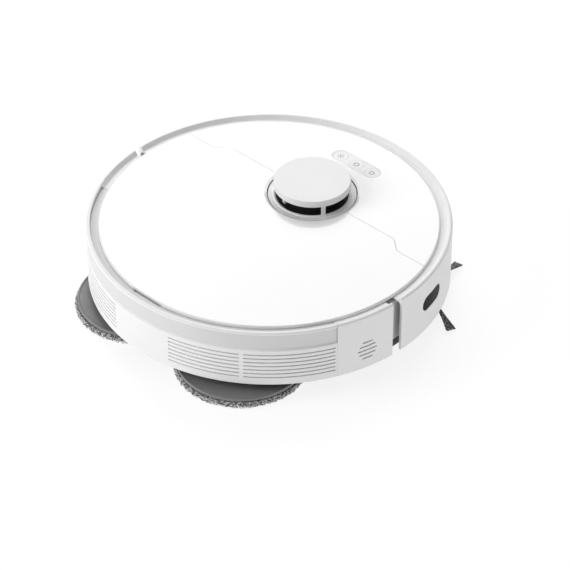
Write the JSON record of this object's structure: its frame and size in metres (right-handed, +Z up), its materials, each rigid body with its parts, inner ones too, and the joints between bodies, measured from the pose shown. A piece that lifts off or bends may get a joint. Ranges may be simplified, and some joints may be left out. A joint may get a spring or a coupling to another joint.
{
  "type": "robot vacuum",
  "caption": "Round white robot vacuum with a raised scanner turret, lift-off lid over a dust box, sprung front bumper, side brush and spinning mop pads.",
  "frame": {"origin": "on the floor, under the middle of the round body", "axes": "+Z up; the robot drives towards -Y; its own left-hand side is +X and its right-hand side is -X"},
  "size_m": [0.3542, 0.35, 0.0933],
  "materials": {
    "white_shell": "satin white moulded plastic",
    "white_plate": "glossy white top plate",
    "light_band": "satin light grey band",
    "vent_grey": "fine light grey mesh",
    "black_base": "fine textured black plastic",
    "grey_frame": "grey structural plastic",
    "smoked_window": "smoked infrared window",
    "scanner_black": "matt black plastic",
    "rubber_black": "black rubber",
    "tyre_rubber": "treaded black rubber",
    "bristle_grey": "dark grey nylon bristle",
    "mop_plate_grey": "dark grey plastic",
    "mop_pad_fabric": "grey looped microfibre",
    "steel": "bright steel",
    "contact_metal": "gold plated contact",
    "magnet_metal": "nickel plated magnet",
    "board_green": "green circuit board",
    "battery_wrap": "dark blue battery sleeve",
    "dust_clear": "smoked clear plastic",
    "filter_paper": "pleated white filter paper",
    "belt_rubber": "thin black drive belt"
  },
  "bodies": {
    "base": {"chassis": "black_base", "bottom_screws": "steel", "cliff_sensors": "smoked_window", "charging_contacts": "contact_metal", "mid_frame": "grey_frame", "battery": "battery_wrap", "main_board": "board_green", "speaker": "black_base", "water_tank": "grey_frame", "rear_shell": "white_shell", "exhaust_mesh": "vent_grey", "rear_band": "light_band", "rear_rim": "white_shell", "left_side_panel": "white_shell", "right_side_panel": "white_shell", "front_top_panel": "white_plate", "button_pad": "white_plate", "fan_housing": "black_base", "lidar_base": "scanner_black", "lidar_motor": "steel", "lidar_belt": "belt_rubber", "wheel_frames": "black_base", "brush_housing": "black_base", "brush_guard": "black_base", "brush_motor": "black_base", "side_brush_motor": "black_base"},
    "bumper": {"bumper": "white_shell", "edge_sensor_window": "smoked_window"},
    "lid": {"lid": "white_plate", "lid_magnets": "magnet_metal"},
    "dust_box": {"dust_box": "dust_clear", "dust_box_cover": "dust_clear", "hepa_filter": "filter_paper"},
    "inlet_flap": {"inlet_flap": "rubber_black"},
    "fan_impeller": {"fan_impeller": "grey_frame"},
    "turret_cap": {"turret_cap": "white_shell"},
    "lidar_rotor": {"lidar_rotor": "scanner_black"},
    "lidar_motor_pulley": {"lidar_motor_pulley": "scanner_black"},
    "home_button": {"home_button": "white_plate"},
    "power_button": {"power_button": "white_plate"},
    "spot_button": {"spot_button": "white_plate"},
    "caster_fork": {"caster_fork": "black_base"},
    "caster_wheel": {"caster_wheel": "tyre_rubber"},
    "main_brush": {"main_brush_core": "bristle_grey", "main_brush_blades": "rubber_black"},
    "side_brush": {"side_brush_hub": "black_base", "side_brush_bristles": "bristle_grey"},
    "mop_carriage": {"mop_gearbox": "black_base"},
    "left_wheel_arm": {"left_wheel_gearbox": "black_base"},
    "left_wheel": {"left_wheel_hub": "grey_frame", "left_wheel_tyre": "tyre_rubber"},
    "left_mop": {"left_mop_spindle": "black_base", "left_mop_plate": "mop_plate_grey", "left_mop_pad": "mop_pad_fabric"},
    "right_wheel_arm": {"right_wheel_gearbox": "black_base"},
    "right_wheel": {"right_wheel_hub": "grey_frame", "right_wheel_tyre": "tyre_rubber"},
    "right_mop": {"right_mop_spindle": "black_base", "right_mop_plate": "mop_plate_grey", "right_mop_pad": "mop_pad_fabric"}
  },
  "joints": [
    {"name": "bumper_press", "type": "slide", "parent": "base", "child": "bumper", "axis": [0, 1, 0], "range_m": [0, 0.005], "stiffness_N_per_m": 400, "springref_m": -0.003},
    {"name": "lid_lift", "type": "slide", "parent": "base", "child": "lid", "axis": [0, 0, 1], "range_m": [0, 0.16]},
    {"name": "dust_box_lift", "type": "slide", "parent": "base", "child": "dust_box", "axis": [0, 0, 1], "range_m": [0, 0.072]},
    {"name": "inlet_flap_swing", "type": "hinge", "parent": "dust_box", "child": "inlet_flap", "pos_m": [0, -0.0009, 0.0444], "axis": [1, 0, 0], "range_deg": [0, 60]},
    {"name": "fan_spin", "type": "hinge", "parent": "base", "child": "fan_impeller", "pos_m": [0.112, 0.074, 0.045], "axis": [0, 0, 1], "continuous": true},
    {"name": "turret_press", "type": "slide", "parent": "base", "child": "turret_cap", "axis": [0, 0, -1], "range_m": [0, 0.0015], "stiffness_N_per_m": 800, "springref_m": -0.002},
    {"name": "lidar_spin", "type": "hinge", "parent": "base", "child": "lidar_rotor", "pos_m": [0, -0.06, 0.08], "axis": [0, 0, 1], "continuous": true},
    {"name": "lidar_motor_spin", "type": "hinge", "parent": "base", "child": "lidar_motor_pulley", "pos_m": [0.036, -0.092, 0.06], "axis": [0, 0, 1], "continuous": true},
    {"name": "home_button_press", "type": "slide", "parent": "base", "child": "home_button", "axis": [0, 0, -1], "range_m": [0, 0.0006], "stiffness_N_per_m": 500, "springref_m": -0.001},
    {"name": "power_button_press", "type": "slide", "parent": "base", "child": "power_button", "axis": [0, 0, -1], "range_m": [0, 0.0006], "stiffness_N_per_m": 500, "springref_m": -0.001},
    {"name": "spot_button_press", "type": "slide", "parent": "base", "child": "spot_button", "axis": [0, 0, -1], "range_m": [0, 0.0006], "stiffness_N_per_m": 500, "springref_m": -0.001},
    {"name": "caster_swivel", "type": "hinge", "parent": "base", "child": "caster_fork", "pos_m": [0, -0.14, 0.022], "axis": [0, 0, 1], "continuous": true},
    {"name": "caster_roll", "type": "hinge", "parent": "caster_fork", "child": "caster_wheel", "pos_m": [0, -0.133, 0.009], "axis": [1, 0, 0], "continuous": true},
    {"name": "main_brush_spin", "type": "hinge", "parent": "base", "child": "main_brush", "pos_m": [0, -0.046, 0.021], "axis": [1, 0, 0], "continuous": true},
    {"name": "side_brush_spin", "type": "hinge", "parent": "base", "child": "side_brush", "pos_m": [-0.1223, -0.0878, 0.014], "axis": [0, 0, 1], "continuous": true},
    {"name": "left_wheel_drop", "type": "hinge", "parent": "base", "child": "left_wheel_arm", "pos_m": [0.105, 0.034, 0.033], "axis": [1, 0, 0], "range_deg": [0, 30]},
    {"name": "left_wheel_spin", "type": "hinge", "parent": "left_wheel_arm", "child": "left_wheel", "pos_m": [0.12, 0, 0.033], "axis": [1, 0, 0], "continuous": true},
    {"name": "right_wheel_drop", "type": "hinge", "parent": "base", "child": "right_wheel_arm", "pos_m": [-0.105, 0.034, 0.033], "axis": [1, 0, 0], "range_deg": [0, 30]},
    {"name": "right_wheel_spin", "type": "hinge", "parent": "right_wheel_arm", "child": "right_wheel", "pos_m": [-0.12, 0, 0.033], "axis": [1, 0, 0], "continuous": true},
    {"name": "mop_lift", "type": "slide", "parent": "base", "child": "mop_carriage", "axis": [0, 0, 1], "range_m": [0, 0.007]},
    {"name": "left_mop_spin", "type": "hinge", "parent": "mop_carriage", "child": "left_mop", "pos_m": [0.067, 0.108, 0.012], "axis": [0, 0, 1], "continuous": true},
    {"name": "right_mop_spin", "type": "hinge", "parent": "mop_carriage", "child": "right_mop", "pos_m": [-0.067, 0.108, 0.012], "axis": [0, 0, 1], "continuous": true}
  ],
  "couplings": [
    {"joint": "dust_box_lift", "follows": "lid_lift", "ratio": 0.45},
    {"joint": "lidar_motor_spin", "follows": "lidar_spin", "ratio": 5},
    {"joint": "right_mop_spin", "follows": "left_mop_spin", "ratio": -1}
  ]
}
